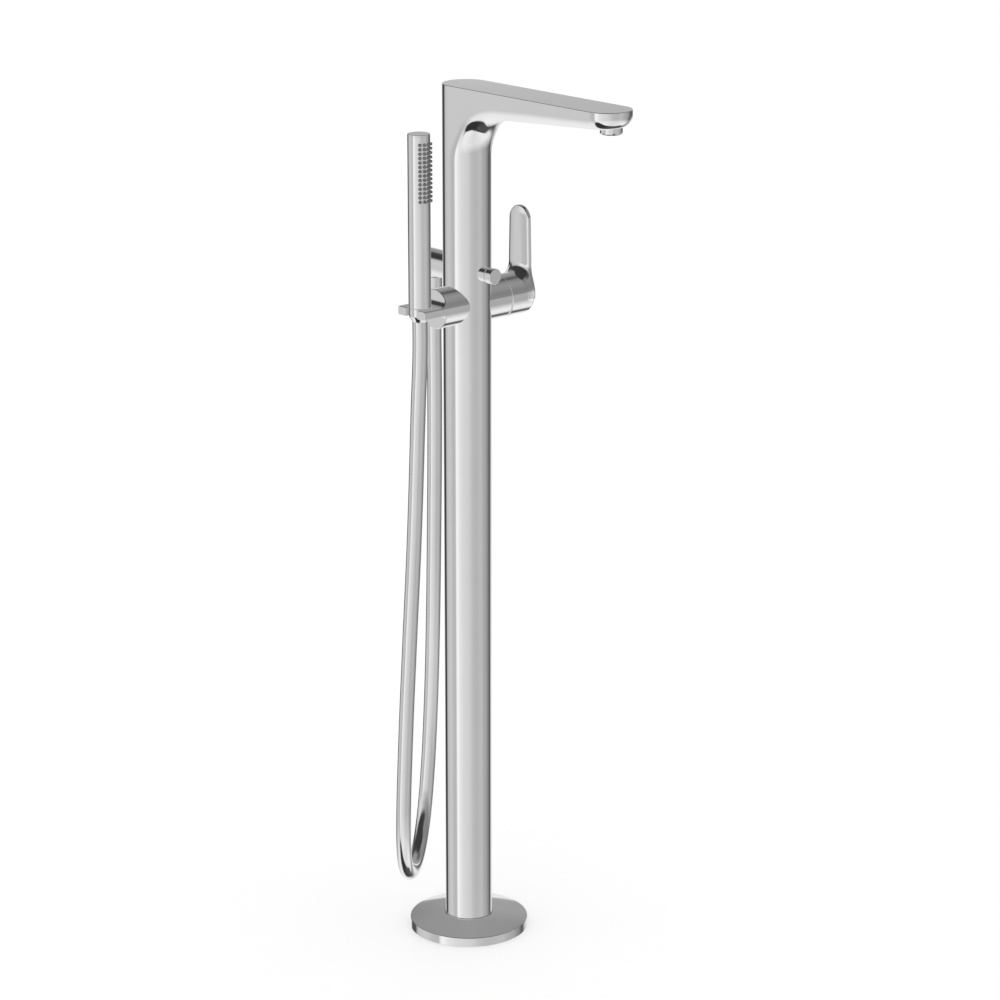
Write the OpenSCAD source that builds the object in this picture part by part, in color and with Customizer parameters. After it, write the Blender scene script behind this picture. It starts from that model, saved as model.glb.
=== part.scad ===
// Floor standing bath filler: a round column with a flat swan neck spout, a side
// lever mixer, a pull diverter, and a hand shower on a chrome hose in a side holder.
// Millimetres. The origin is the centre of the column at floor level, +Z is up,
// the spout reaches toward -Y, the mixer points to +X and the holder to -X.

/* [Column] */
// Outside diameter of the column
column_d = 50; // [46:1:60]
// Wall of the column tube
column_wall = 2; // [1.5:0.5:3]
// Height of the flat top of the spout above the diverter's axis
spout_lift = 193.4; // [150:0.1:300]
// Drop from the flat top to the joint between the column tube and the spout casting
neck_drop = 76; // [74:1:90]

/* [Spout] */
// Reach of the spout from the column's axis to its tip
spout_reach = 229; // [180:1:280]
// Thickness of the spout at its tip
spout_tip_h = 16.5; // [15:0.1:22]
// Slope of the underside in degrees
spout_slope = 4.2; // [2:0.1:6]
// Radius of the concave corner under the arm
spout_corner_r = 39; // [20:1:44]
// Rounding of the lower edges of the arm
spout_edge_r = 14.6; // [8:0.1:15]
// Rounding of the edges on their way round the corner
spout_bend_edge_r = 20; // [15:0.5:22]
// Wall of the spout casting
spout_wall = 2.5; // [2:0.5:3.5]

/* [Aerator] */
// Outside diameter of the aerator ring
aerator_d = 22.4; // [20:0.2:24]
// Distance from the tip of the spout to the aerator's axis
aerator_inset = 19; // [17:1:40]
// How far the ring stands below the spout
aerator_drop = 5; // [3:0.1:8]
// Wall of the aerator ring
aerator_wall = 2; // [1.5:0.5:3]
// Notches for the key round the ring
aerator_notches = 6; // [4:1:8]

/* [Base] */
// Outside diameter of the cover flange
cover_d = 127; // [120:1:150]
// Height of the cover flange at its rim
cover_h = 10.4; // [9.6:0.1:16]
// How far the domed top of the cover flange rises to the column
cover_rise = 4.8; // [2:0.1:6]
// Wall of the cover flange
cover_wall = 1.5; // [1:0.1:2]
// Outside diameter of the steel plate on the floor
plate_d = 116; // [110:1:116]
// Thickness of the steel plate
plate_t = 5; // [4:0.5:5]
// Circle of the floor bolts
floor_bolt_pcd = 94; // [90:1:96]
// Diameter of the floor bolt holes
floor_bolt_hole_d = 8.4; // [6:0.2:9]
// Number of floor bolts
floor_bolts = 4; // [3:1:6]
// Circle of the screws that hold the column's foot
foot_screw_pcd = 60; // [58:1:64]
// Number of foot screws
foot_screws_n = 4; // [3:1:6]

/* [Mixer] */
// Height of the mixer and holder axis above the floor
mixer_h = 694; // [600:1:740]
// Outside diameter of the mixer
mixer_d = 44.7; // [43:0.1:46]
// Distance from the column's axis to the seam between sleeve and lever
mixer_seam_x = 43.4; // [42:0.1:50]
// Distance from the column's axis to the outer face of the lever
mixer_end_x = 76.3; // [72:0.1:90]
// Outside diameter of the mixing cartridge
cartridge_d = 35; // [34:0.5:36]
// Seam between the sleeve and the lever
seam_gap = 0.3; // [0.2:0.1:0.6]
// Largest lean of the lever in degrees, which its notch leaves room for
lever_lean = 10; // [6:1:12]

/* [Lever] */
// Height of the lever's tip above the mixer's axis
lever_h = 92; // [70:1:110]
// Thickness of the lever plate
lever_t = 6.3; // [5:0.1:8]
// Width of the lever at its root
lever_root_w = 31; // [28:0.5:36]
// Width of the lever near its tip
lever_tip_w = 29; // [24:0.5:31]
// Concave corner between the lever plate and the cap
lever_corner_r = 12; // [8:1:14]

/* [Diverter] */
// Height of the diverter and shower outlet axis above the mixer's axis
diverter_lift = 34; // [32:1:60]
// Diameter of the pull knob
knob_d = 16.4; // [14:0.2:20]
// Thickness of the pull knob
knob_t = 8.8; // [6:0.2:12]
// Distance from the column's axis to the knob's face
knob_face_y = 43.4; // [42:0.2:50]
// Diameter of the collar behind the knob
collar_d = 14.8; // [13:0.2:18]
// Groove between the collar and the knob
knob_gap = 1.6; // [1:0.1:3]
// Travel of the knob when it is pulled
diverter_travel = 8; // [5:0.5:8]

/* [Shower outlet] */
// Diameter of the outlet elbow
elbow_d = 28.6; // [26:0.2:32]
// Distance from the column's axis to the end of the elbow
elbow_end_y = 68; // [66:1:80]
// Distance from the column's axis to the axis of the hose connection
outlet_y = 52; // [50:1:54]
// Diameter of the nut on the hose
hose_nut_d = 17.8; // [17:0.2:20]
// Length of the nut on the hose
hose_nut_l = 23.4; // [20:0.1:28]

/* [Holder] */
// Outside diameter of the holder arm
holder_d = 41.3; // [38:0.1:44]
// Distance from the column's axis to the step of the holder
holder_step_x = 45; // [43:0.5:47]
// Distance from the column's axis to the end of the fork
holder_end_x = 76.3; // [74:0.1:84]
// Thickness of the fork
fork_t = 9.1; // [8:0.1:12]
// Top of the fork above the holder's axis
fork_top = 5.1; // [4.5:0.1:6]
// Width of the slot in the fork
slot_w = 17.5; // [17:0.1:18.4]

/* [Hand shower] */
// Distance from the column's axis to the hand shower's axis
hand_x = 64.5; // [64:0.1:65]
// Diameter of the hand shower
hand_d = 23.2; // [22:0.2:24]
// Length of the hand shower's tube
hand_l = 178.3; // [150:0.1:240]
// Wall of the hand shower's tube
hand_wall = 1.2; // [1:0.1:1.5]
// Rows of nozzles
nozzle_rows = 14; // [8:1:18]
// Step between the rows
nozzle_pitch = 4.45; // [4.2:0.05:5]
// Columns of nozzles
nozzle_cols = 4; // [2:1:4]
// Angle between the columns in degrees
nozzle_angle = 23.8; // [22:0.1:26]
// Distance from the top of the tube to the first row
nozzle_top = 10; // [9:0.5:20]
// Diameter of a nozzle
nozzle_d = 3.4; // [2.6:0.1:3.6]
// How far a nozzle stands out
nozzle_out = 2.2; // [1:0.1:3]

/* [Hose] */
// Outside diameter of the hose
hose_d = 15.8; // [14:0.1:16]
// Diameter of the cone nut's lower face
cone_low_d = 15.8; // [15:0.1:16]

/* [Supply] */
// Distance from the column's axis to each supply tail
supply_x = 10.6; // [10.6:0.1:11]
// Outside diameter of a supply tail
supply_d = 11; // [9:0.5:12]
// Bore of a supply tail
supply_bore_d = 8; // [6:0.5:8]
// Bore of the thread in a tail nut
tail_thread_d = 15; // [13:0.1:15.4]
// Length of the thread in a tail nut
tail_thread_l = 12; // [10:1:16]
// Outside diameter of the riser tube to the spout
riser_d = 12; // [10:1:14]

/* [Hidden] */
$fn = 96;

// One overrun serves every cut, one fit every running pair and one seat every screwed pair
over = 1;
run_fit = 0.05;
seat_fit = 0.1;
touch_gap = 0.3;

// Column: the mixer's height carries the diverter, and that carries the spout
column_r = column_d / 2;
bore_r = column_r - column_wall;
diverter_h = mixer_h + diverter_lift;
total_h = diverter_h + spout_lift;
neck_z = total_h - neck_drop;

// Spout: the underside rises toward the tip, and the corner arc touches it and the column
tip_c_y = spout_reach - column_r;
under_tip_z = total_h - spout_tip_h;
corner_y = column_r + spout_corner_r;
function under_z(y) = under_tip_z - (spout_reach - y) * tan(spout_slope);
corner_z = under_z(corner_y) - spout_corner_r / cos(spout_slope);
corner_touch_y = corner_y + spout_corner_r * -sin(spout_slope);
bowl_spare = 1.5;

// Aerator
aerator_y = spout_reach - aerator_inset;
aerator_r = aerator_d / 2;
aerator_thread_r = aerator_r - 0.8 * aerator_wall;
aerator_under_z = under_z(aerator_y);
aerator_low_z = aerator_under_z - aerator_drop;
aerator_thread_h = 7;
aerator_notch_w = 2.6;
aerator_notch_h = 1.2;
aerator_insert_drop = 1;
aerator_hole_d = 1.6;
aerator_hole_pitch = 3.2;
washer_t = 1.5;

// Base
cover_r = cover_d / 2;
cover_edge = 0.7;
foot_t = 3;
foot_collar_h = 26;
foot_r = 36;
foot_bore_r = supply_x + supply_d;
plate_bore_r = foot_bore_r + seat_fit;
foot_top_z = plate_t + foot_t;
foot_screw_d = 5;
foot_screw_head_d = 9;
foot_ring_w = 1.4;
foot_ring_h = 1.1;
foot_ring_z = cover_h + cover_rise;

// The dome's sphere goes through the rim of the cover and the seat of the foot ring
dome_rim_r = cover_r - cover_edge;
dome_top_r = column_r + run_fit + foot_ring_w + cover_edge;
dome_drop = (dome_rim_r ^ 2 - dome_top_r ^ 2 - cover_rise ^ 2) / (2 * cover_rise);
dome_r = norm([dome_rim_r, dome_drop]);

// Mixer and cartridge
mixer_r = mixer_d / 2;
mixer_wall = 2.1;
mixer_bore_r = mixer_r - mixer_wall;
cartridge_r = cartridge_d / 2;
housing_r = mixer_bore_r - touch_gap;
housing_x = 12;
housing_floor = 4;
housing_end_x = mixer_seam_x - 3.4;
cartridge_x = housing_x + housing_floor + washer_t;
cartridge_l = 17;
cartridge_end_x = cartridge_x + cartridge_l;
cartridge_floor = 4.5;
turret_r = 9;
turret_l = cartridge_l - cartridge_floor - 3 * run_fit;
turret_x = cartridge_end_x - run_fit - turret_l;
port_d = 5.6;
port_r = 8;
nut_bore_r = 8;

// Lever: the pivot is the pin through the spindle
pivot_x = cartridge_end_x - 6;
pin_d = 3;
spindle_d = 7;
spindle_tail = 4;
handle_x = mixer_seam_x + seam_gap;
handle_floor_x = 60;
handle_edge_r = 3.6;
hub_r = 8.4;
hub_x = 48.5;
spindle_end_x = handle_floor_x + 6;
grub_d = 4;
grub_l = 4.2;
grub_x = 54;
grub_key_d = 5;
lever_in_x = mixer_end_x - lever_t;
lever_tip_r = lever_tip_w / 2;
notch_lift = 1.5;

// Valve body inside the column
valve_r = bore_r - touch_gap;
valve_below = 28;
valve_above = 18;
valve_low_z = mixer_h - valve_below;
valve_top_z = diverter_h + valve_above;
socket_l = 8;

// Diverter
knob_r = knob_d / 2;
knob_edge = 0.8;
knob_back_y = knob_face_y - knob_t;
collar_r = collar_d / 2;
collar_face_y = knob_back_y - knob_gap;
collar_face_t = 1.6;
stem_d = 5;
bush_r = collar_r - 1.5;
bush_in_y = 12;
bush_out_y = collar_face_y - collar_face_t - seat_fit;
piston_r = 7.6;
piston_l = 10;
piston_out_y = 2;
piston_bore_r = piston_r + 0.4;
ring_t = 1.8;
ring_c_r = piston_r + 0.3 - ring_t / 2;
ring_y_shares = [0.25, 0.75];
stem_in_knob = 6;

// Shower outlet
elbow_r = elbow_d / 2;
elbow_edge_r = 1.5;
elbow_bore_r = 6;
elbow_bore_end_y = outlet_y + elbow_bore_r;
spigot_r = 9;
spigot_in_y = 12;
hose_nut_r = hose_nut_d / 2;
hose_nut_top_z = diverter_h - elbow_r - touch_gap;
hose_nut_low_z = hose_nut_top_z - hose_nut_l;
drop_r = 5;
outlet_stub_r = 6.6;
outlet_stub_rise = 9;
outlet_stub_low_z = hose_nut_low_z + outlet_stub_rise;
nut_shoulder_t = 6;
hose_bore_r = 4.2;
valve_insert_l = 14;

// Holder and hand shower
holder_r = holder_d / 2;
slot_r = slot_w / 2;
fork_top_z = mixer_h + fork_top;
fork_low_z = fork_top_z - fork_t;
fork_edge = 0.5;
hand_r = hand_d / 2;
hand_low_z = fork_top_z + touch_gap;
hand_top_z = hand_low_z + hand_l;
cone_top_z = hand_low_z - run_fit;
cone_h = 14.85;
cone_low_z = cone_top_z - cone_h;
cone_top_r = hand_r;
cone_low_r = cone_low_d / 2;
cone_slope = (cone_top_r - cone_low_r) / cone_h;
stud_r = 6;
stud_in_x = 14;
stud_out_x = holder_step_x - 6;
holder_grub_x = 35;
cap_t = 1.6;
cap_spigot_h = 5;
hand_bore_r = hand_r - hand_wall;
inlet_floor = 3;
inlet_r = 6.6;
inlet_l = 10;
core_r = 5.4;
core_wall = 1;
strip_t = 1;
strip_half_angle = 48;
nozzle_hole_fit = 0.1;
nozzle_tip_share = 0.82;
nozzle_span = (nozzle_rows - 1) * nozzle_pitch;

// Supply
tail_nut_r = supply_x - 0.4;
tail_nut_low_z = 1;
tail_nut_h = tail_thread_l + 8;
hose_sides = 12;

// Middle line of the hose from the hand shower's cone nut to the elbow's nut, drawn for a cone
// nut at hose_plan_h. It stretches with the height of the nuts.
hose_plan_h = 684.5;
hose_plan = [
    [-hand_x, 0, 655], [-65.9, 1.2, 605.8], [-67.2, 2.4, 556.6], [-68.7, 3.2, 507.3],
    [-71, 3.5, 458.1], [-74.6, 2.9, 409], [-79.8, 0.9, 360.1], [-86.2, -2.7, 311.4],
    [-93.4, -7.3, 262.8], [-100, -11.8, 214.2], [-102.4, -13.2, 191.3], [-103.9, -13.9, 168.2],
    [-103.7, -13, 145.1], [-101, -10, 122.4], [-94.2, -3.6, 101.3], [-82.7, 6.4, 84],
    [-67.3, 19.4, 72.8], [-49.8, 33.8, 68.9], [-32.2, 48, 72.9], [-16.5, 60.4, 84.3],
    [-4.3, 69.5, 101.7], [3.5, 74.6, 122.8], [7.8, 76.6, 145.4], [10.1, 76.8, 168.4],
    [11, 75.9, 191.5], [11, 74.3, 214.6], [9.5, 69.8, 263.4], [7.1, 65, 312.1],
    [4.8, 60.8, 361], [3, 57.6, 409.9], [1.9, 55.3, 458.9], [1.3, 53.7, 507.9],
    [0.9, 52.7, 556.9], [0.5, 52.1, 606], [0, outlet_y, 655]
];
hose_stretch = cone_low_z / hose_plan_h;
hose_route = concat(
    [[-hand_x, 0, cone_low_z]],
    [for (p = hose_plan) [p[0], p[1], p[2] * hose_stretch]],
    [[0, outlet_y, hose_nut_low_z]]
);

// Round bars along each axis, from one place to another
module bar_z(z0, z1, r) { translate([0, 0, z0]) cylinder(h = z1 - z0, r = r); }
module bar_x(x0, x1, r) { rotate([0, 90, 0]) bar_z(x0, x1, r); }
module bar_front(y0, y1, r) { rotate([90, 0, 0]) bar_z(y0, y1, r); }
module bar_back(y0, y1, r) { rotate([-90, 0, 0]) bar_z(y0, y1, r); }
module at_mixer() { translate([0, 0, mixer_h]) children(); }
module at_diverter() { translate([0, 0, diverter_h]) children(); }
module round_array(count, pcd) {
    for (i = [0 : count - 1])
        rotate([0, 0, 45 + i * 360 / count]) translate([pcd / 2, 0, 0]) children();
}
module tube_z(z0, z1, r, bore) {
    difference() {
        bar_z(z0, z1, r);
        bar_z(z0 - over, z1 + over, bore);
    }
}
// The column's own outside, kept clear of what is fitted against it
module column_space() { bar_z(0, total_h, column_r + run_fit); }

// Base
module base_plate() {
    color("silver") difference() {
        bar_z(0, plate_t, plate_d / 2);
        bar_z(-over, plate_t + over, plate_bore_r);
        round_array(floor_bolts, floor_bolt_pcd) bar_z(-over, plate_t + over, floor_bolt_hole_d / 2);
        rotate([0, 0, 45]) round_array(foot_screws_n, foot_screw_pcd)
            bar_z(-over, plate_t + over, foot_screw_d / 2);
    }
}
module foot_flange() {
    color("goldenrod") difference() {
        union() {
            bar_z(plate_t, foot_top_z, foot_r);
            bar_z(plate_t, foot_top_z + foot_collar_h, bore_r - seat_fit);
        }
        bar_z(0, foot_top_z + foot_collar_h + over, foot_bore_r - seat_fit);
        rotate([0, 0, 45]) round_array(foot_screws_n, foot_screw_pcd) {
            bar_z(0, foot_top_z + over, foot_screw_d / 2 + seat_fit);
            translate([0, 0, plate_t + seat_fit]) cylinder(h = foot_t,
                r1 = foot_screw_d / 2 + seat_fit, r2 = foot_screw_head_d / 2 + seat_fit);
        }
    }
}
module foot_screws() {
    head_h = foot_t - 2 * seat_fit;
    color("gray") rotate([0, 0, 45]) round_array(foot_screws_n, foot_screw_pcd) difference() {
        union() {
            bar_z(seat_fit, foot_top_z - head_h, foot_screw_d / 2 - run_fit);
            translate([0, 0, foot_top_z - head_h])
                cylinder(h = head_h, r1 = foot_screw_d / 2 - run_fit, r2 = foot_screw_head_d / 2 - run_fit);
        }
        translate([0, 0, foot_top_z - head_h / 2]) cylinder(h = head_h, d = foot_screw_d * 0.6, $fn = 6);
    }
}
module under_dome(low, inset) {
    intersection() {
        bar_z(low, foot_ring_z - inset, cover_r - inset);
        translate([0, 0, cover_h - dome_drop]) sphere(r = dome_r - inset);
    }
}
module cover_flange() {
    color("gainsboro") difference() {
        under_dome(0, 0);
        under_dome(-over, cover_wall);
        bar_z(-over, foot_ring_z + over, column_r + seat_fit);
    }
}
module foot_ring() {
    ring_in = column_r + run_fit;
    color("white") tube_z(foot_ring_z, foot_ring_z + foot_ring_h, ring_in + foot_ring_w, ring_in);
}

// Column
module column_tube() {
    color("gainsboro") difference() {
        tube_z(foot_top_z, neck_z, column_r, bore_r);
        at_mixer() bar_x(0, column_d, housing_r + seat_fit);
        at_mixer() bar_x(-column_d, 0, stud_r + seat_fit);
        at_diverter() bar_front(0, column_d, bush_r + seat_fit);
        at_diverter() bar_back(0, column_d, spigot_r + seat_fit);
    }
}

// Spout: a plan with round ends cuts the bend round the corner's axis and the run with its bowl
module spout_plan(inset) {
    low = neck_z - over;
    high = total_h - inset;
    bar_z(low, high, column_r - inset);
    translate([0, -tip_c_y, 0]) bar_z(low, high, column_r - inset);
    translate([inset - column_r, -tip_c_y, low]) cube([column_d - 2 * inset, tip_c_y, high - low]);
}
module spout_bend(inset) {
    edge = spout_bend_edge_r - inset;
    half = column_r - inset + bowl_spare;
    inner = spout_corner_r + inset;
    outer = spout_corner_r + neck_drop + column_d;
    translate([0, -corner_y, corner_z]) intersection() {
        rotate([-spout_slope, 0, 0]) translate([-column_d, 0, -outer])
            cube([2 * column_d, outer, 2 * outer]);
        translate([-column_d, -outer, 0]) cube([2 * column_d, 2 * outer, outer]);
        rotate([0, 90, 0]) rotate_extrude() {
            translate([inner, edge - half]) square([outer - inner, 2 * (half - edge)]);
            translate([inner + edge, -half]) square([outer - inner - edge, 2 * half]);
            for (side = [-1, 1]) translate([inner + edge, side * (half - edge)]) circle(edge);
        }
    }
}
module spout_run(inset) {
    edge = spout_edge_r - inset;
    half = column_r - inset + bowl_spare;
    tall = spout_corner_r + neck_drop;
    run = (tip_c_y - corner_touch_y) / cos(spout_slope) + over;
    translate([0, -tip_c_y, under_z(tip_c_y)]) rotate([-spout_slope, 0, 0]) translate([0, 0, inset]) {
        for (side = [-1, 1]) translate([side * (half - edge), 0, edge]) bar_back(0, run, edge);
        translate([-half, 0, edge]) cube([2 * half, run, tall]);
        translate([edge - half, 0, 0]) cube([2 * (half - edge), run, tall]);
        bar_z(0, tall, half - edge);
        bar_z(edge, tall, half);
        translate([0, 0, edge]) rotate_extrude() intersection() {
            translate([half - edge, 0]) circle(edge);
            translate([0, -edge]) square([half, 2 * edge]);
        }
    }
}
module spout_solid(inset) {
    bar_z(neck_z, corner_z, column_r - inset);
    intersection() {
        spout_plan(inset);
        union() {
            spout_bend(inset);
            spout_run(inset);
        }
    }
}
module spout_body() {
    color("gainsboro") difference() {
        spout_solid(0);
        spout_solid(spout_wall);
        bar_z(neck_z - over, neck_z + over, column_r - spout_wall);
        translate([0, -aerator_y, 0])
            bar_z(aerator_low_z, total_h - 2 * spout_wall, aerator_thread_r + seat_fit);
    }
}
module neck_plug() {
    plug_h = 8;
    plug_z = neck_z - plug_h;
    color("goldenrod") tube_z(plug_z, neck_z, bore_r - seat_fit, riser_d / 2 + run_fit);
}
module riser_tube() {
    color("peru") tube_z(valve_top_z - socket_l + seat_fit, neck_z + spout_edge_r, riser_d / 2,
        riser_d / 2 - over);
}

// Aerator
module aerator_ring() {
    color("gainsboro") translate([0, -aerator_y, 0]) difference() {
        union() {
            bar_z(aerator_low_z, aerator_under_z - aerator_r * tan(spout_slope) - seat_fit, aerator_r);
            bar_z(aerator_low_z, aerator_under_z + aerator_thread_h, aerator_thread_r);
        }
        bar_z(aerator_low_z - over, total_h, aerator_r - aerator_wall);
        for (i = [0 : aerator_notches - 1]) rotate([0, 0, i * 360 / aerator_notches])
            translate([aerator_r - aerator_wall - over, -aerator_notch_w / 2, aerator_low_z - over])
                cube([aerator_wall + 2 * over, aerator_notch_w, aerator_notch_h + over]);
    }
}
module aerator_insert() {
    insert_r = aerator_r - aerator_wall - run_fit;
    face_z = aerator_low_z - aerator_insert_drop;
    color("dimgray") translate([0, -aerator_y, 0]) difference() {
        bar_z(face_z, aerator_under_z + aerator_thread_h - washer_t, insert_r);
        for (i = [-2 : 2], j = [-2 : 2])
            if (norm([i, j]) < 2.5)
                translate([i * aerator_hole_pitch, j * aerator_hole_pitch, 0])
                    bar_z(face_z - over, total_h, aerator_hole_d / 2);
    }
}
module aerator_washer() {
    low = aerator_under_z + aerator_thread_h;
    color("black") translate([0, -aerator_y, 0])
        tube_z(low, low + washer_t, aerator_thread_r, aerator_r - 2 * aerator_wall);
}

// Valve body: ports in the cartridge seat, the diverter bore across, the riser socket on top
port_places = [[0, -port_r], [0, port_r], [port_r, 0]];
module valve_body() {
    color("goldenrod") difference() {
        bar_z(valve_low_z, valve_top_z, valve_r);
        at_mixer() bar_x(housing_x, column_d, housing_r + seat_fit);
        at_mixer() bar_x(-column_d, -stud_in_x, stud_r + seat_fit);
        for (side = [-1, 1]) translate([side * supply_x, 0, 0]) {
            bar_z(valve_low_z - over, valve_low_z + socket_l, supply_d / 2 + seat_fit);
            bar_z(valve_low_z, mixer_h + side * -port_r, port_d / 2);
        }
        translate([0, 0, mixer_h + port_r]) bar_x(-supply_x, housing_x + over, port_d / 2);
        translate([0, port_r, mixer_h]) bar_x(0, housing_x + over, port_d / 2);
        translate([0, port_r, 0]) bar_z(mixer_h, diverter_h, port_d / 2);
        at_diverter() bar_front(-column_r, bush_in_y, piston_bore_r);
        at_diverter() bar_front(0, column_r, bush_r + seat_fit);
        at_diverter() bar_back(spigot_in_y - seat_fit, column_r, spigot_r + seat_fit);
        bar_z(diverter_h, valve_top_z + over, riser_d / 2 - over);
        bar_z(valve_top_z - socket_l, valve_top_z + over, riser_d / 2 + run_fit);
    }
}

// Mixer
module mixer_sleeve() {
    color("gainsboro") difference() {
        at_mixer() bar_x(0, mixer_seam_x, mixer_r);
        at_mixer() bar_x(-over, mixer_seam_x + over, mixer_bore_r);
        column_space();
    }
}
module cartridge_ports(x0, x1) {
    for (p = port_places) translate([0, p[1], p[0]]) bar_x(x0, x1, port_d / 2);
    translate([0, 0, -port_r]) bar_x(x0, x1, port_d / 2);
}
module cartridge_housing() {
    color("goldenrod") at_mixer() difference() {
        bar_x(housing_x, housing_end_x, housing_r);
        bar_x(housing_x + housing_floor, housing_end_x + over, cartridge_r + seat_fit);
        cartridge_ports(housing_x - over, housing_x + housing_floor + over);
    }
}
module cartridge_seal() {
    color("black") at_mixer() difference() {
        bar_x(housing_x + housing_floor, cartridge_x, cartridge_r - over);
        cartridge_ports(housing_x, cartridge_x + over);
    }
}
module cartridge_body() {
    color("white") at_mixer() difference() {
        bar_x(cartridge_x, cartridge_end_x, cartridge_r);
        bar_x(cartridge_x + cartridge_floor, cartridge_end_x + over, turret_r + run_fit);
        cartridge_ports(cartridge_x - over, cartridge_x + cartridge_floor + over);
    }
}
module cartridge_nut() {
    color("goldenrod") at_mixer() difference() {
        bar_x(cartridge_end_x, housing_end_x, cartridge_r);
        bar_x(cartridge_end_x - over, housing_end_x + over, nut_bore_r);
    }
}
module cartridge_turret() {
    slot_z = spindle_d / 2 + 2;
    color("lightgray") at_mixer() difference() {
        bar_x(turret_x, turret_x + turret_l, turret_r);
        translate([turret_x - over, -spindle_d / 2 - touch_gap, -slot_z])
            cube([turret_l + 2 * over, spindle_d + 2 * touch_gap, 2 * slot_z]);
        translate([pivot_x, 0, 0]) bar_back(-turret_r, turret_r, pin_d / 2);
    }
}
module spindle_pin() {
    half = turret_r - over;
    color("gray") at_mixer() translate([pivot_x, 0, 0]) bar_back(-half, half, pin_d / 2);
}
module lever_spindle() {
    color("gray") at_mixer() difference() {
        bar_x(pivot_x - spindle_tail, spindle_end_x, spindle_d / 2);
        translate([pivot_x, 0, 0]) bar_back(-spindle_d, spindle_d, pin_d / 2 + run_fit);
    }
}

// Lever: a cap in line with the sleeve and a plate that rises from its outer end
module lever_plate() {
    straight_h = lever_h - lever_tip_r;
    foot_h = mixer_r - lever_corner_r;
    intersection() {
        rotate([90, 0, 90]) translate([0, 0, lever_in_x - lever_corner_r])
            linear_extrude(lever_t + lever_corner_r) union() {
                polygon([
                    [-lever_root_w / 2, foot_h], [lever_root_w / 2, foot_h],
                    [lever_root_w / 2, mixer_r + lever_corner_r],
                    [lever_tip_r, straight_h], [-lever_tip_r, straight_h],
                    [-lever_root_w / 2, mixer_r + lever_corner_r]
                ]);
                translate([0, straight_h]) circle(lever_tip_r);
            }
        difference() {
            union() {
                translate([lever_in_x, -lever_root_w, 0]) cube([lever_t, 2 * lever_root_w, lever_h + over]);
                translate([lever_in_x - lever_corner_r, -lever_root_w, 0])
                    cube([lever_corner_r + over, 2 * lever_root_w, mixer_r + lever_corner_r]);
            }
            translate([lever_in_x - lever_corner_r, 0, mixer_r + lever_corner_r])
                bar_back(-2 * lever_root_w, 2 * lever_root_w, lever_corner_r);
        }
    }
}
module lever_cap() {
    bar_x(handle_x, mixer_end_x - handle_edge_r, mixer_r);
    bar_x(handle_x, mixer_end_x, mixer_r - handle_edge_r);
    translate([mixer_end_x - handle_edge_r, 0, 0]) rotate([0, 90, 0])
        rotate_extrude() translate([mixer_r - handle_edge_r, 0]) circle(handle_edge_r);
}
module lever_notch() {
    reach = 2 * mixer_r;
    translate([handle_x, 0, notch_lift]) rotate([0, -lever_lean, 0])
        translate([-reach, -reach, -2 * reach]) cube([reach, 2 * reach, 2 * reach]);
}
module lever_handle() {
    color("gainsboro") at_mixer() difference() {
        union() {
            difference() {
                union() {
                    lever_cap();
                    lever_plate();
                }
                bar_x(handle_x - over, handle_floor_x, mixer_bore_r);
                lever_notch();
            }
            bar_x(hub_x, handle_floor_x + over, hub_r);
        }
        bar_x(hub_x - over, spindle_end_x + seat_fit, spindle_d / 2 + run_fit);
        translate([grub_x, 0, 0]) bar_z(-mixer_d, 0, grub_d / 2 + run_fit);
        translate([grub_x, 0, 0]) bar_z(-mixer_d, -hub_r, grub_key_d / 2);
    }
}
module lever_grub_screw() {
    top = -spindle_d / 2 - run_fit;
    color("gray") at_mixer() translate([grub_x, 0, 0]) difference() {
        bar_z(top - grub_l, top, grub_d / 2);
        translate([0, 0, top - grub_l - over]) cylinder(h = grub_l / 2 + over, d = grub_d / 2, $fn = 6);
    }
}

// Diverter
module diverter_bush() {
    color("goldenrod") at_diverter() difference() {
        bar_front(bush_in_y, bush_out_y, bush_r);
        bar_front(bush_in_y - over, bush_out_y + over, stem_d / 2 + run_fit);
    }
}
module diverter_collar() {
    color("gainsboro") difference() {
        at_diverter() bar_front(0, collar_face_y, collar_r);
        at_diverter() bar_front(-over, collar_face_y - collar_face_t, bush_r + seat_fit);
        at_diverter() bar_front(0, collar_face_y + over, stem_d / 2 + seat_fit);
        column_space();
    }
}
module diverter_stem() {
    color("gray") at_diverter()
        bar_front(piston_out_y - piston_l / 2, knob_back_y + stem_in_knob, stem_d / 2);
}
module diverter_piston() {
    color("goldenrod") at_diverter() difference() {
        bar_front(piston_out_y - piston_l, piston_out_y, piston_r);
        bar_front(piston_out_y - piston_l / 2 - run_fit, piston_out_y + over, stem_d / 2 + run_fit);
        for (share = ring_y_shares)
            rotate([90, 0, 0]) translate([0, 0, piston_out_y - piston_l * share])
                rotate_extrude() translate([ring_c_r, 0]) circle(ring_t / 2 + run_fit);
    }
}
module diverter_rings() {
    color("black") at_diverter() for (share = ring_y_shares)
        rotate([90, 0, 0]) translate([0, 0, piston_out_y - piston_l * share])
            rotate_extrude() translate([ring_c_r, 0]) circle(ring_t / 2);
}
module diverter_knob() {
    color("gainsboro") at_diverter() rotate([90, 0, 0]) difference() {
        union() {
            bar_z(knob_back_y + knob_edge, knob_face_y - knob_edge, knob_r);
            translate([0, 0, knob_back_y]) cylinder(h = knob_edge, r1 = knob_r - knob_edge, r2 = knob_r);
            translate([0, 0, knob_face_y - knob_edge])
                cylinder(h = knob_edge, r1 = knob_r, r2 = knob_r - knob_edge);
        }
        bar_z(knob_back_y - over, knob_back_y + stem_in_knob + seat_fit, stem_d / 2 + run_fit);
    }
}

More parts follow.
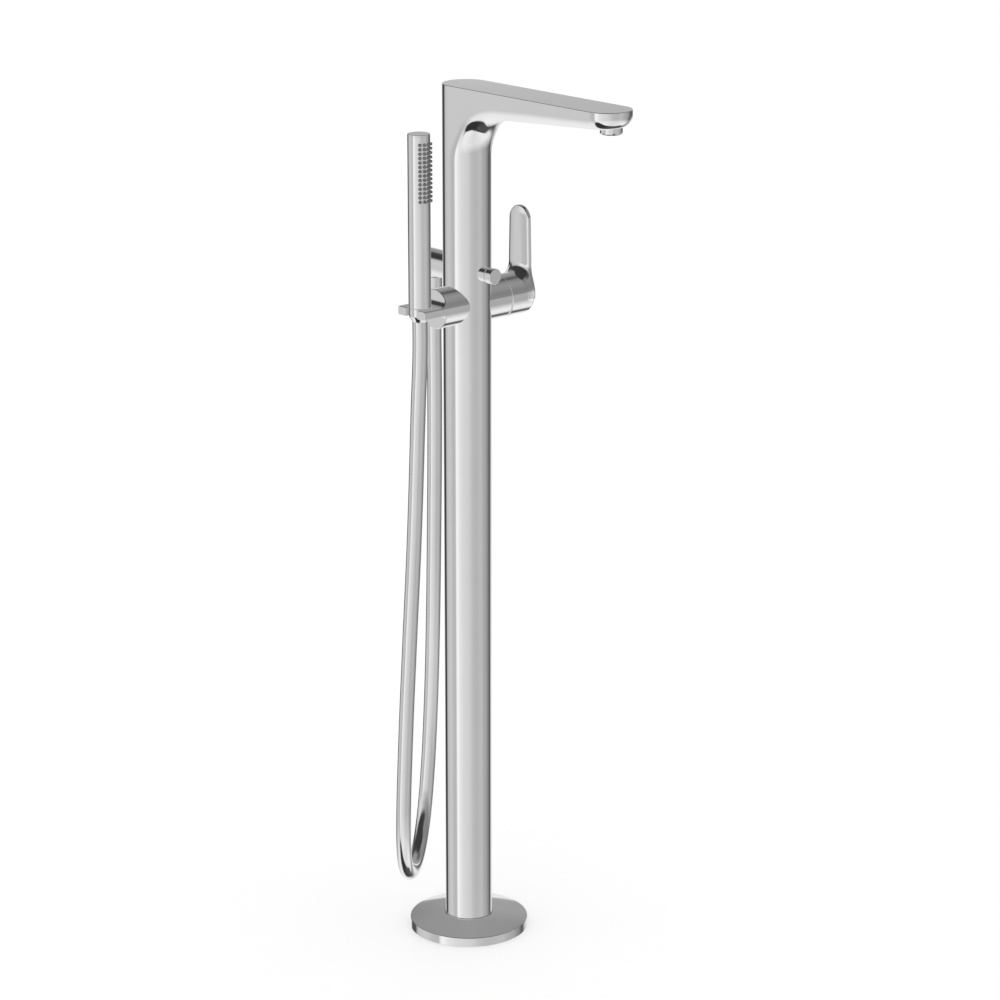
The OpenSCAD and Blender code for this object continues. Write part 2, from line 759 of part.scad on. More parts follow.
// Shower outlet
module outlet_elbow() {
    color("gainsboro") difference() {
        union() {
            at_diverter() bar_back(0, elbow_end_y - elbow_edge_r, elbow_r);
            at_diverter() bar_back(0, elbow_end_y, elbow_r - elbow_edge_r);
            at_diverter() translate([0, elbow_end_y - elbow_edge_r, 0]) rotate([90, 0, 0])
                rotate_extrude() translate([elbow_r - elbow_edge_r, 0]) circle(elbow_edge_r);
            translate([0, outlet_y, 0]) bar_z(outlet_stub_low_z, diverter_h, outlet_stub_r);
        }
        difference() {
            column_space();
            at_diverter() bar_back(spigot_in_y, column_d, spigot_r);
        }
        at_diverter() bar_back(0, elbow_bore_end_y, elbow_bore_r);
        translate([0, outlet_y, 0]) bar_z(outlet_stub_low_z - over, diverter_h, drop_r);
    }
}
module check_valve() {
    low = outlet_stub_low_z + over;
    color("white") translate([0, outlet_y, 0])
        tube_z(low, low + valve_insert_l, drop_r - run_fit, drop_r - 2 * over);
}
module elbow_washer() {
    low = hose_nut_low_z + nut_shoulder_t;
    color("black") translate([0, outlet_y, 0]) tube_z(low, low + washer_t, outlet_stub_r, hose_bore_r);
}
module elbow_hose_nut() {
    color("gainsboro") translate([0, outlet_y, 0]) difference() {
        bar_z(hose_nut_low_z, hose_nut_top_z, hose_nut_r);
        bar_z(hose_nut_low_z - over, hose_nut_top_z, hose_bore_r);
        bar_z(hose_nut_low_z + nut_shoulder_t, hose_nut_top_z + over, outlet_stub_r + seat_fit);
    }
}

// Hose: rings across the route, joined side by side
function unit(v) = v / norm(v);
function route_dir(i) = let (n = len(hose_route) - 1)
    i == 0 || i == n ? [0, 0, i == 0 ? -1 : 1] : unit(hose_route[i + 1] - hose_route[i - 1]);
module shower_hose() {
    n = len(hose_route);
    side = unit([-1, 1, 0]);
    points = [for (i = [0 : n - 1]) let (d = route_dir(i), a = unit(side - (side * d) * d), b = cross(d, a))
        for (k = [0 : hose_sides - 1]) let (t = k * 360 / hose_sides)
            hose_route[i] + hose_d / 2 * (cos(t) * a + sin(t) * b)];
    walls = [for (i = [0 : n - 2], k = [0 : hose_sides - 1]) let (m = (k + 1) % hose_sides)
        [i * hose_sides + m, i * hose_sides + k, (i + 1) * hose_sides + k, (i + 1) * hose_sides + m]];
    first = [for (k = [0 : hose_sides - 1]) k];
    last = [for (k = [hose_sides - 1 : -1 : 0]) (n - 1) * hose_sides + k];
    color("silver") polyhedron(points, concat(walls, [first, last]));
}
module cone_nut() {
    shoulder_z = cone_low_z + 3 * over;
    color("gainsboro") translate([-hand_x, 0, 0]) difference() {
        translate([0, 0, cone_low_z]) cylinder(h = cone_h, r1 = cone_low_r, r2 = cone_top_r);
        bar_z(cone_low_z - over, cone_top_z, hose_bore_r);
        bar_z(shoulder_z, cone_top_z + over, inlet_r + seat_fit);
    }
}
module cone_washer() {
    low = cone_low_z + 3 * over;
    high = hand_low_z - inlet_l - run_fit;
    color("black") translate([-hand_x, 0, 0]) tube_z(low, high, inlet_r, hose_bore_r);
}

// Holder
module fork_seat() {
    seat_top_r = cone_top_r + (fork_top_z - cone_top_z) * cone_slope + touch_gap;
    seat_low_r = seat_top_r - fork_t * cone_slope;
    translate([-hand_x, 0, fork_low_z]) {
        cylinder(h = fork_t, r1 = seat_low_r, r2 = seat_top_r);
        translate([0, 0, fork_t]) cylinder(h = over, r = seat_top_r);
        bar_z(-over, over, seat_low_r);
    }
    translate([-hand_x - column_d, -slot_r, fork_low_z - over]) cube([column_d, slot_w, fork_t + 2 * over]);
}
module holder_arm() {
    color("gainsboro") difference() {
        at_mixer() bar_x(-holder_end_x, 0, holder_r);
        column_space();
        for (z = [fork_top_z, fork_low_z - holder_d])
            translate([-holder_end_x - over, -holder_r - over, z])
                cube([holder_end_x + over - holder_step_x, holder_d + 2 * over, holder_d]);
        fork_seat();
        at_mixer() bar_x(-stud_out_x - seat_fit, 0, stud_r + seat_fit);
        translate([-holder_grub_x, 0, 0]) bar_z(mixer_h - holder_r - over, mixer_h, grub_d / 2 + run_fit);
    }
}
module holder_stud() {
    color("goldenrod") at_mixer() bar_x(-stud_out_x, -stud_in_x, stud_r);
}
module holder_grub_screw() {
    high = mixer_h - stud_r - run_fit;
    long = holder_r - stud_r - 3 * over;
    color("gray") translate([-holder_grub_x, 0, 0]) difference() {
        bar_z(high - long, high, grub_d / 2);
        translate([0, 0, high - long - over]) cylinder(h = grub_l / 2 + over, d = grub_d / 2, $fn = 6);
    }
}

// Hand shower
module nozzle_places() {
    first = (1 - nozzle_cols) / 2;
    for (i = [0 : nozzle_rows - 1], j = [0 : nozzle_cols - 1])
        translate([0, 0, hand_top_z - nozzle_top - i * nozzle_pitch])
            rotate([90, 0, (first + j) * nozzle_angle]) children();
}
module hand_tube() {
    color("gainsboro") translate([-hand_x, 0, 0]) difference() {
        tube_z(hand_low_z, hand_top_z - cap_t, hand_r, hand_bore_r);
        nozzle_places() bar_z(hand_bore_r - over, hand_r + over, nozzle_d / 2 + nozzle_hole_fit);
    }
}
module hand_cap() {
    color("gainsboro") translate([-hand_x, 0, 0]) {
        bar_z(hand_top_z - cap_t, hand_top_z, hand_r);
        tube_z(hand_top_z - cap_t - cap_spigot_h, hand_top_z - cap_t, hand_bore_r - run_fit,
            hand_bore_r - 2 * over);
    }
}
module hand_inlet() {
    color("goldenrod") translate([-hand_x, 0, 0]) difference() {
        union() {
            bar_z(hand_low_z - inlet_l, hand_low_z, inlet_r);
            bar_z(hand_low_z, hand_low_z + inlet_floor, hand_bore_r - run_fit);
        }
        bar_z(hand_low_z - inlet_l - over, hand_low_z + inlet_floor + over, hose_bore_r);
    }
}
module hand_core() {
    low = hand_low_z + inlet_floor;
    high = hand_top_z - cap_t - cap_spigot_h;
    color("white") translate([-hand_x, 0, 0]) tube_z(low, high, core_r, core_r - core_wall);
}
module nozzle_strip() {
    strip_r = hand_bore_r - run_fit;
    margin = nozzle_pitch;
    low = hand_top_z - nozzle_top - nozzle_span - margin;
    high = hand_top_z - cap_t - cap_spigot_h + (nozzle_top - cap_t - cap_spigot_h) / 2;
    front = strip_r * cos(strip_half_angle);
    color("dimgray") translate([-hand_x, 0, 0]) {
        intersection() {
            tube_z(low, min(high, hand_top_z - cap_t - cap_spigot_h - run_fit), strip_r, strip_r - strip_t);
            translate([-hand_d, -hand_d, low - over])
                cube([2 * hand_d, hand_d - front, high - low + 2 * over]);
        }
        nozzle_places() {
            bar_z(strip_r - strip_t / 2, hand_r, nozzle_d / 2);
            translate([0, 0, hand_r])
                cylinder(h = nozzle_out, r1 = nozzle_d / 2, r2 = nozzle_d / 2 * nozzle_tip_share);
        }
    }
}

// Supply
module supply_tail(side) {
    low = tail_nut_low_z + tail_nut_h - socket_l / 2;
    color("peru") translate([side * supply_x, 0, 0])
        tube_z(low, valve_low_z + socket_l - seat_fit, supply_d / 2, supply_bore_d / 2);
}
module tail_nut(side) {
    high = tail_nut_low_z + tail_nut_h;
    color("goldenrod") translate([side * supply_x, 0, 0]) difference() {
        bar_z(tail_nut_low_z, high, tail_nut_r);
        bar_z(tail_nut_low_z - over, tail_nut_low_z + tail_thread_l, tail_thread_d / 2);
        bar_z(tail_nut_low_z, high, supply_bore_d / 2);
        bar_z(high - socket_l / 2, high + over, supply_d / 2 + run_fit);
    }
}

base_plate();
foot_flange();
foot_screws();
cover_flange();
foot_ring();
column_tube();
spout_body();
neck_plug();
riser_tube();
aerator_ring();
aerator_insert();
aerator_washer();
valve_body();
mixer_sleeve();
cartridge_housing();
cartridge_seal();
cartridge_body();
cartridge_nut();
cartridge_turret();
spindle_pin();
lever_spindle();
lever_handle();
lever_grub_screw();
diverter_bush();
diverter_collar();
diverter_stem();
diverter_piston();
diverter_rings();
diverter_knob();
outlet_elbow();
check_valve();
elbow_washer();
elbow_hose_nut();
shower_hose();
cone_nut();
cone_washer();
holder_stud();
holder_arm();
holder_grub_screw();
hand_tube();
hand_cap();
hand_inlet();
hand_core();
nozzle_strip();
supply_tail(1);  // supply_tail_hot
supply_tail(-1);  // supply_tail_cold
tail_nut(1);  // tail_nut_hot
tail_nut(-1);  // tail_nut_cold
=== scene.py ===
"""Floor standing bath filler: polished chrome skins, a flexible hose, a pale floor and a studio
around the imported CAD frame. Sizes below are in millimetres, in the frame's own axes."""

import math

import bpy
import numpy as np
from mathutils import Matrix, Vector


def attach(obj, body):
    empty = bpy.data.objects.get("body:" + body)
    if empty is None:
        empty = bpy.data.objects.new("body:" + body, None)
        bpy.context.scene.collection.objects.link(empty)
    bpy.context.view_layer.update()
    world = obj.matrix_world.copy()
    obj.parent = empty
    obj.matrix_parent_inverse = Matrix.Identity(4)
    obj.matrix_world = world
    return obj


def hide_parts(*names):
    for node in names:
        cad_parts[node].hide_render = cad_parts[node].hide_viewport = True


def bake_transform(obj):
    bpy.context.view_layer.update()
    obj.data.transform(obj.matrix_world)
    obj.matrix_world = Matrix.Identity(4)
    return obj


MM = 0.001

# ---------------------------------------------------------------- frame
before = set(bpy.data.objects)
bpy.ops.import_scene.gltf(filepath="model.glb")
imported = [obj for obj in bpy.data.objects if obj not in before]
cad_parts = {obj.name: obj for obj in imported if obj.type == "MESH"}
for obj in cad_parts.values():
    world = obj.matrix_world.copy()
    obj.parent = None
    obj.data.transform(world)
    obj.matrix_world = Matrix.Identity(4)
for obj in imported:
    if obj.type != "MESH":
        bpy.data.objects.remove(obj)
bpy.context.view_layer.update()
scene = bpy.context.scene
scene.view_settings.view_transform = "Standard"

# Sizes that the skins share
COLUMN_R = 25.0
TOP_Z = 921.4
NECK_Z = 845.4
SPOUT_TIP_Y = 204.0
SPOUT_UNDER_Z = 904.1
SPOUT_REACH = 229.0
SPOUT_SLOPE = math.radians(3.85)
CORNER_R = 39.2
CORNER_Y = COLUMN_R + CORNER_R
MIXER_Z = 694.0
DIVERTER_Z = 728.0
HAND_X = -64.5
HAND_R = 11.6
HAND_LOW_Z = 699.4
HAND_TOP_Z = 877.7
CONE_LOW_Z = 684.5
OUTLET_Y = 52.0
HOSE_NUT_LOW_Z = 690.0
HOSE_D = 15.8

# ---------------------------------------------------------------- camera
CAMERA_PLACE = (-2.2275, -2.4907, 1.4824)
CAMERA_TURN = (math.radians(73.321), 0.0, math.radians(-42.388))

camera_data = bpy.data.cameras.new("camera")
camera_data.sensor_width = 36
camera_data.lens = 119.74
camera = bpy.data.objects.new("camera", camera_data)
camera.location = CAMERA_PLACE
camera.rotation_euler = CAMERA_TURN
scene.collection.objects.link(camera)
scene.camera = camera


# ---------------------------------------------------------------- materials
def linear(tone):
    """A display tone from 0 to 255 as the linear value that renders as it."""
    share = tone / 255
    return share / 12.92 if share <= 0.04045 else ((share + 0.055) / 1.055) ** 2.4


def even(value):
    """A colour with the same linear value in each channel."""
    return (value,) * 3 + (1.0,)


def grey(tone):
    return even(linear(tone))


def add_node(tree, kind, values=(), **settings):
    made = tree.nodes.new(kind)
    for key, value in settings.items():
        setattr(made, key, value)
    for socket, value in dict(values).items():
        made.inputs[socket].default_value = value
    return made


def ramp(tree, factor, stops):
    made = add_node(tree, "ShaderNodeValToRGB")
    band = made.color_ramp.elements
    while len(band) < len(stops):
        band.new(0.5)
    for element, (position, colour) in zip(band, stops):
        element.position = position
        element.color = colour
    tree.links.new(factor, made.inputs["Fac"])
    return made.outputs["Color"]


def finish_material(name, low, high, metallic, rough, spot=90.0, grain=900.0, relief=0.002):
    """A finish whose colour wanders from low to high over spots, with fine wear in its gloss.
    spot and grain are in cells per metre, relief in mm."""
    made = bpy.data.materials.new(name)
    made.use_nodes = True
    tree = made.node_tree
    shader = tree.nodes["Principled BSDF"]
    shader.inputs["Metallic"].default_value = metallic
    place = add_node(tree, "ShaderNodeTexCoord").outputs["Object"]
    cloud = add_node(tree, "ShaderNodeTexNoise", {"Scale": spot, "Detail": 4.0, "Roughness": 0.6})
    fine = add_node(tree, "ShaderNodeTexNoise", {"Scale": grain, "Detail": 3.0, "Roughness": 0.5})
    bump = add_node(tree, "ShaderNodeBump", {"Distance": relief * MM})
    for texture in (cloud, fine):
        tree.links.new(place, texture.inputs["Vector"])
    tree.links.new(ramp(tree, cloud.outputs["Fac"], [(0.3, low), (0.7, high)]),
                   shader.inputs["Base Color"])
    worn = [(0.35, even(rough[0])), (0.7, even(rough[1]))]
    tree.links.new(ramp(tree, fine.outputs["Fac"], worn), shader.inputs["Roughness"])
    tree.links.new(fine.outputs["Fac"], bump.inputs["Height"])
    tree.links.new(bump.outputs["Normal"], shader.inputs["Normal"])
    return made


FINISHES = {
    "chrome": finish_material("polished_chrome", grey(252), grey(255), 1.0, (0.03, 0.05),
                              spot=25, grain=260, relief=0.0004),
    "hose_chrome": finish_material("hose_chrome", grey(248), grey(252), 1.0, (0.1, 0.14),
                                   spot=40, grain=500, relief=0.001),
    "brass": finish_material("turned_brass", (0.60, 0.40, 0.15, 1), (0.72, 0.50, 0.22, 1), 1.0,
                             (0.22, 0.38)),
    "copper": finish_material("drawn_copper", (0.68, 0.30, 0.17, 1), (0.80, 0.40, 0.25, 1), 1.0,
                              (0.22, 0.36)),
    "steel": finish_material("brushed_steel", grey(160), grey(186), 1.0, (0.28, 0.42)),
    "black_rubber": finish_material("black_rubber", grey(30), grey(42), 0.0, (0.55, 0.75),
                                    relief=0.02),
    "grey_rubber": finish_material("grey_rubber", grey(120), grey(138), 0.0, (0.38, 0.52),
                                   relief=0.01),
    "white_plastic": finish_material("white_plastic", grey(214), grey(226), 0.0, (0.3, 0.42)),
    "grey_plastic": finish_material("grey_plastic", grey(96), grey(110), 0.0, (0.35, 0.5)),
}
# A near-black finish of painted shade, for the rings round the nozzles' feet where the tube would
# shade the gap.
NOZZLE_PAINTED_SHADE = finish_material("gap_shadow", grey(22), grey(30), 0.0, (0.6, 0.8))
SATIN_RING = finish_material("satin_ring", grey(205), grey(222), 1.0, (0.2, 0.3))


# ---------------------------------------------------------------- mesh tools
def make_piece(name, points, faces, normals, body, nodes, slot, material=None):
    """A smooth mesh piece from points in mm and one normal a point, which rides on a body."""
    mesh = bpy.data.meshes.new(name)
    mesh.from_pydata((np.asarray(points) * MM).tolist(), [], [list(f) for f in faces])
    mesh.polygons.foreach_set("use_smooth", [True] * len(mesh.polygons))
    if normals is not None:
        mesh.normals_split_custom_set_from_vertices(np.asarray(normals).tolist())
    mesh.materials.append(material or FINISHES[slot])
    piece = bpy.data.objects.new(name, mesh)
    piece.visible_glossy = False
    scene.collection.objects.link(piece)
    if body:
        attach(piece, body)
    if nodes:
        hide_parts(*nodes)
    return piece


def meet(a, b, r):
    """The part inside both shapes, its outer edge rounded by r."""
    return (np.minimum(np.maximum(a + r, b + r), 0)
            + np.hypot(np.maximum(a + r, 0), np.maximum(b + r, 0)) - r)


def join(a, b, r):
    """The part inside either shape, the corner between them filled by r."""
    return np.maximum(r, np.minimum(a, b)) - np.hypot(np.maximum(r - a, 0), np.maximum(r - b, 0))


def cuts(*stretches):
    """Grid places from stretches of (start, end, step)."""
    places = [stretches[0][0]]
    for start, end, step in stretches:
        count = max(1, round((end - start) / step))
        places += list(np.linspace(start, end, count + 1)[1:])
    return np.array(places, float)


SLOPE_STEP = 0.01
SETTLE_STEPS = 5
SETTLE_REACH = 0.5


def slope(shape, p):
    """The shape's gradient at points p."""
    found = np.zeros_like(p)
    for k in range(3):
        step = np.zeros(3)
        step[k] = SLOPE_STEP
        found[:, k] = (shape(*(p + step).T) - shape(*(p - step).T)) / (2 * SLOPE_STEP)
    return found


def skin(shape, xs, ys, zs):
    """The surface where shape(x, y, z) is 0: one point in each grid cell that it crosses, moved
    onto it, and a four-sided face round each grid edge that it crosses. Negative is inside."""
    grid = (xs, ys, zs)
    field = shape(*np.meshgrid(xs, ys, zs, indexing="ij"))
    inside = field < 0
    cells = np.array(field.shape) - 1
    total, count = np.zeros(tuple(cells) + (3,)), np.zeros(tuple(cells), int)
    rings = []
    for axis in range(3):
        u, v = (axis + 1) % 3, (axis + 2) % 3
        near = tuple(slice(None, -1) if k == axis else slice(None) for k in range(3))
        far = tuple(slice(1, None) if k == axis else slice(None) for k in range(3))
        crossed = inside[near] != inside[far]
        at = np.argwhere(crossed)
        start, end = field[near][crossed], field[far][crossed]
        p = np.stack([grid[k][at[:, k]] for k in range(3)], axis=1)
        p[:, axis] += start / (start - end) * (grid[axis][at[:, axis] + 1] - p[:, axis])
        around = []
        whole = np.ones(len(at), bool)
        for du, dv in ((0, 0), (1, 0), (1, 1), (0, 1)):
            cell = at.copy()
            cell[:, u] -= du
            cell[:, v] -= dv
            fits = ((cell >= 0) & (cell < cells)).all(1)
            np.add.at(total, tuple(cell[fits].T), p[fits])
            np.add.at(count, tuple(cell[fits].T), 1)
            whole &= fits
            around.append(cell)
        order = np.where((start < 0)[:, None], [[0, 1, 2, 3]], [[3, 2, 1, 0]])[whole]
        ring = np.stack([c[whole] for c in around], axis=1)
        rings.append(np.take_along_axis(ring, order[:, :, None], axis=1))
    number = np.full(tuple(cells), -1)
    used = count > 0
    number[used] = np.arange(used.sum())
    points = total[used] / count[used][:, None]
    for _ in range(SETTLE_STEPS):
        g = slope(shape, points)
        move = shape(*points.T)[:, None] * g / np.maximum((g * g).sum(1), 1e-6)[:, None]
        points -= np.clip(move, -SETTLE_REACH, SETTLE_REACH)
    g = slope(shape, points)
    normals = g / np.maximum(np.linalg.norm(g, axis=1), 1e-9)[:, None]
    faces = number[tuple(np.concatenate(rings).reshape(-1, 3).T)].reshape(-1, 4)
    return points, faces, normals


AXES = {
    "+Z": ((1, 0, 0), (0, 1, 0), (0, 0, 1)),
    "+X": ((0, 1, 0), (0, 0, 1), (1, 0, 0)),
    "+Y": ((0, 0, 1), (1, 0, 0), (0, 1, 0)),
    "-Y": ((1, 0, 0), (0, 0, 1), (0, -1, 0)),
}
AT_WALL = None
WALL_ALONG = 20.0
WALL_SINK = 0.4
ARC_STEP = math.radians(15)
ARC_REACH = 5.0


def rounded(corners, closed):
    """Rows of radius, along, their normal, and 1 where along counts from the column's wall, for
    a profile of (radius, along, rounding) corners. The solid is on the left of its direction."""
    flat = [(r, WALL_ALONG if h is AT_WALL else h) for r, h, _ in corners]
    rows = []
    for i, (_, along, rounding) in enumerate(corners):
        here = Vector(flat[i])
        before = Vector(flat[i - 1]) if closed or i else None
        after = Vector(flat[(i + 1) % len(flat)]) if closed or i < len(flat) - 1 else None
        come = (here - before).normalized() if before else (after - here).normalized()
        go = (after - here).normalized() if after else come
        turn = math.atan2(come.x * go.y - come.y * go.x, come.dot(go))
        side = 1 if turn >= 0 else -1
        out = Vector((come.y, -come.x))
        reach = rounding * math.tan(abs(turn) / 2)
        centre = here - come * reach - side * rounding * out
        steps = 0
        if rounding:
            steps = max(1, math.ceil(abs(turn) / min(ARC_STEP, ARC_REACH / rounding)))
        for k in range(steps + 1):
            angle = turn * k / max(steps, 1)
            n = Vector((out.x * math.cos(angle) - out.y * math.sin(angle),
                        out.x * math.sin(angle) + out.y * math.cos(angle)))
            p = centre + side * rounding * n
            rows.append((max(p.x, 0.0), p.y, n.x, n.y, along is AT_WALL))
    return rows


def turned(corners, origin, axis, closed=False, segments=128):
    """A profile turned round an axis, as points, faces and normals."""
    rows = rounded(corners, closed)
    u, v, w = (np.array(a, float) for a in AXES[axis])
    start = np.array(origin, float)
    angles = np.arange(segments) * 2 * math.pi / segments
    spokes = np.outer(np.cos(angles), u) + np.outer(np.sin(angles), v)
    points, normals, rings = [], [], []
    for radius, along, out, up, on_wall in rows:
        first = len(points)
        if radius < 1e-6:
            points.append(start + along * w)
            normals.append(up * w)
            rings.append([first] * segments)
            continue
        for spoke in spokes:
            p = start + radius * spoke
            reach = along
            if on_wall:
                wall = math.sqrt(max(COLUMN_R ** 2 - p[0] ** 2 - p[1] ** 2, 0)) - WALL_SINK
                reach += wall - WALL_ALONG
            points.append(p + reach * w)
            normals.append(out * spoke + up * w)
        rings.append(list(range(first, first + segments)))
    faces = []
    pairs = list(zip(rings, rings[1:])) + ([(rings[-1], rings[0])] if closed else [])
    for low, high in pairs:
        for k in range(segments):
            m = (k + 1) % segments
            face = list(dict.fromkeys((low[k], low[m], high[m], high[k])))
            if len(face) > 2:
                faces.append(face)
    return points, faces, normals


def merged(parts):
    """Several (points, faces, normals) as one."""
    points, faces, normals = [], [], []
    for p, f, n in parts:
        first = len(points)
        points += list(p)
        normals += list(n)
        faces += [[first + i for i in face] for face in f]
    return points, faces, normals


# ---------------------------------------------------------------- hose
# The route of part.scad, from the hand shower's cone nut to the elbow's nut. Its points come
# from a fit to the photo.
HOSE_ROUTE = [
    (HAND_X, 0, CONE_LOW_Z), (HAND_X, 0, 655), (-65.9, 1.2, 605.8), (-67.2, 2.4, 556.6),
    (-68.7, 3.2, 507.3), (-71, 3.5, 458.1), (-74.6, 2.9, 409), (-79.8, 0.9, 360.1),
    (-86.2, -2.7, 311.4), (-93.4, -7.3, 262.8), (-100, -11.8, 214.2), (-102.4, -13.2, 191.3),
    (-103.9, -13.9, 168.2), (-103.7, -13, 145.1), (-101, -10, 122.4), (-94.2, -3.6, 101.3),
    (-82.7, 6.4, 84), (-67.3, 19.4, 72.8), (-49.8, 33.8, 68.9), (-32.2, 48, 72.9),
    (-16.5, 60.4, 84.3), (-4.3, 69.5, 101.7), (3.5, 74.6, 122.8), (7.8, 76.6, 145.4),
    (10.1, 76.8, 168.4), (11, 75.9, 191.5), (11, 74.3, 214.6), (9.5, 69.8, 263.4),
    (7.1, 65, 312.1), (4.8, 60.8, 361), (3, 57.6, 409.9), (1.9, 55.3, 458.9),
    (1.3, 53.7, 507.9), (0.9, 52.7, 556.9), (0.5, 52.1, 606), (0, OUTLET_Y, 655),
    (0, OUTLET_Y, HOSE_NUT_LOW_Z),
]
HOSE_SIDES = 32
HOSE_STEPS = 8


def smooth_line(route, steps):
    """A curve through every point of the route, with no jump in its bend."""
    p = np.array(route, float)
    along = np.concatenate([[0], np.cumsum(np.linalg.norm(np.diff(p, axis=0), axis=1))])
    gap = np.diff(along)
    n = len(p)
    matrix, want = np.eye(n), np.zeros((n, 3))
    for i in range(1, n - 1):
        matrix[i, i - 1:i + 2] = gap[i - 1], 2 * (gap[i - 1] + gap[i]), gap[i]
        want[i] = 6 * ((p[i + 1] - p[i]) / gap[i] - (p[i] - p[i - 1]) / gap[i - 1])
    bend = np.linalg.solve(matrix, want)
    line = []
    for i in range(n - 1):
        for share in np.arange(steps) / steps:
            a, b, h = (1 - share), share, gap[i]
            line.append(a * p[i] + b * p[i + 1]
                        + ((a ** 3 - a) * bend[i] + (b ** 3 - b) * bend[i + 1]) * h * h / 6)
    return np.array(line + [p[-1]])


def tube(line, radius, sides):
    """A round tube along a line, closed at both ends, as points, faces and normals."""
    ahead = np.gradient(line, axis=0)
    ahead /= np.linalg.norm(ahead, axis=1)[:, None]
    side = np.array([0.0, 1.0, 0.0])
    points, normals = [], []
    for centre, d in zip(line, ahead):
        side = side - side.dot(d) * d
        side /= np.linalg.norm(side)
        other = np.cross(d, side)
        for k in range(sides):
            t = 2 * math.pi * k / sides
            out = math.cos(t) * side + math.sin(t) * other
            points.append(centre + radius * out)
            normals.append(out)
    faces = [[i * sides + k, i * sides + (k + 1) % sides,
              (i + 1) * sides + (k + 1) % sides, (i + 1) * sides + k]
             for i in range(len(line) - 1) for k in range(sides)]
    last = (len(line) - 1) * sides
    faces += [list(range(sides))[::-1], list(range(last, last + sides))]
    return points, faces, normals


hose_line = smooth_line(HOSE_ROUTE, HOSE_STEPS)
hose = make_piece("shower_hose_tube", *tube(hose_line, HOSE_D / 2, HOSE_SIDES), None,
                  ["shower_hose"], "hose_chrome")
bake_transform(hose)

# ---------------------------------------------------------------- foot and column
make_piece("cover_flange_skin", *turned([
    (62.0, 0.0, 0.3), (63.5, 0.0, 0.3), (63.5, 10.1, 0.7), (44.4, 13.85, 310.0), (25.1, 15.3, 0.3),
    (25.1, 13.8, 0.3), (44.4, 12.3, 270.0), (62.0, 8.6, 0.5),
], (0, 0, 0), "+Z", closed=True, segments=192), "stand", ["cover_flange"], "chrome")
make_piece("foot_ring_skin", *turned([
    (25.05, 15.1, 0.1), (26.45, 15.1, 0.1), (26.45, 16.4, 0.45), (25.05, 16.4, 0.2),
], (0, 0, 0), "+Z", closed=True), "stand", ["foot_ring"], "chrome", SATIN_RING)
COLUMN_BORE_R = 23.0
COLUMN_LOW_Z = 8.0
LAP_IN = 0.02
LAP_TOP_Z = NECK_Z + 1.5
make_piece("column_skin", *turned([
    (COLUMN_BORE_R, COLUMN_LOW_Z, 0.2), (COLUMN_R, COLUMN_LOW_Z, 0.2), (COLUMN_R, NECK_Z, 0),
    (COLUMN_R - LAP_IN, NECK_Z + 0.3, 0), (COLUMN_R - LAP_IN, LAP_TOP_Z, 0),
    (COLUMN_BORE_R, LAP_TOP_Z, 0),
], (0, 0, 0), "+Z", closed=True, segments=160), "stand", ["column_tube"], "chrome")


# ---------------------------------------------------------------- spout
def smooth_step(t):
    t = np.clip(t, 0, 1)
    return t * t * (3 - 2 * t)


CORNER_Z = (SPOUT_UNDER_Z - (SPOUT_REACH - CORNER_Y) * math.tan(SPOUT_SLOPE)
            - CORNER_R / math.cos(SPOUT_SLOPE))
NECK_SETTLE = 36.0
NECK_FULLNESS = 0.0105
ARM_EDGE_R = 14.7
TIP_EDGE_R = 12.5
EDGE_TURN = (0.34, 1.06)
NARROW_Y = 110.0
NARROW_L = 90.0
TOP_EDGE_R = 0.7


def spout_shape(x, y, z):
    """A stadium seen from above, cut by the front of the column, the sloping underside and the
    concave corner between them. The lower edges turn from the column's full round to the
    arm's edge radius round the corner, and tighten a little toward the tip."""
    ahead = -y
    settled = smooth_step((z - NECK_Z) / NECK_SETTLE)
    plan = np.hypot(x, ahead - np.clip(ahead, 0, SPOUT_TIP_Y)) - COLUMN_R
    under = SPOUT_UNDER_Z - (SPOUT_REACH - ahead) * math.tan(SPOUT_SLOPE)
    front = ahead - COLUMN_R - NECK_FULLNESS * x * x * settled
    below = join(front, (under - z) * math.cos(SPOUT_SLOPE), CORNER_R)
    fan = np.arctan2(np.maximum(z - CORNER_Z, 0), np.maximum(CORNER_Y - ahead, 1e-6))
    share = fan / (math.pi / 2 - SPOUT_SLOPE)
    turn = smooth_step((share - EDGE_TURN[0]) / (EDGE_TURN[1] - EDGE_TURN[0]))
    edge = ARM_EDGE_R + (TIP_EDGE_R - ARM_EDGE_R) * smooth_step((ahead - NARROW_Y) / NARROW_L)
    edge = edge + (COLUMN_R - ARM_EDGE_R) * (1 - turn)
    return meet(meet(below, plan, edge), z - TOP_Z, TOP_EDGE_R)


make_piece("spout_skin", *skin(
    spout_shape,
    cuts((-25.6, 25.6, 0.512)),
    cuts((-229.6, -200, 0.5), (-200, -92, 2), (-92, -25, 0.8), (-25, 25.6, 0.5)),
    cuts((NECK_Z - 0.5, 919.9, 1), (919.9, 921.7, 0.225)),
), "stand", ["spout_body"], "chrome")

# ---------------------------------------------------------------- aerator
AERATOR_Y = -210.0
AERATOR_R = 11.2
AERATOR_BORE_R = 9.2
AERATOR_LOW_Z = 898.5
AERATOR_TOP_Z = 905.5
NOTCHES = 6
NOTCH_HALF = 1.3
NOTCH_TOP_Z = AERATOR_LOW_Z + 1.2


def aerator_shape(x, y, z):
    radius = np.hypot(x, y - AERATOR_Y)
    angle = np.arctan2(y - AERATOR_Y, x)
    step = 2 * math.pi / NOTCHES
    off_notch = np.abs(radius * np.sin(angle - np.round(angle / step) * step)) - NOTCH_HALF
    ring = meet(meet(radius - AERATOR_R, AERATOR_BORE_R - radius, 0.4), AERATOR_LOW_Z - z, 0.4)
    notches = np.maximum(off_notch, z - NOTCH_TOP_Z)
    return meet(meet(ring, z - AERATOR_TOP_Z, 0.3), -notches, 0.15)


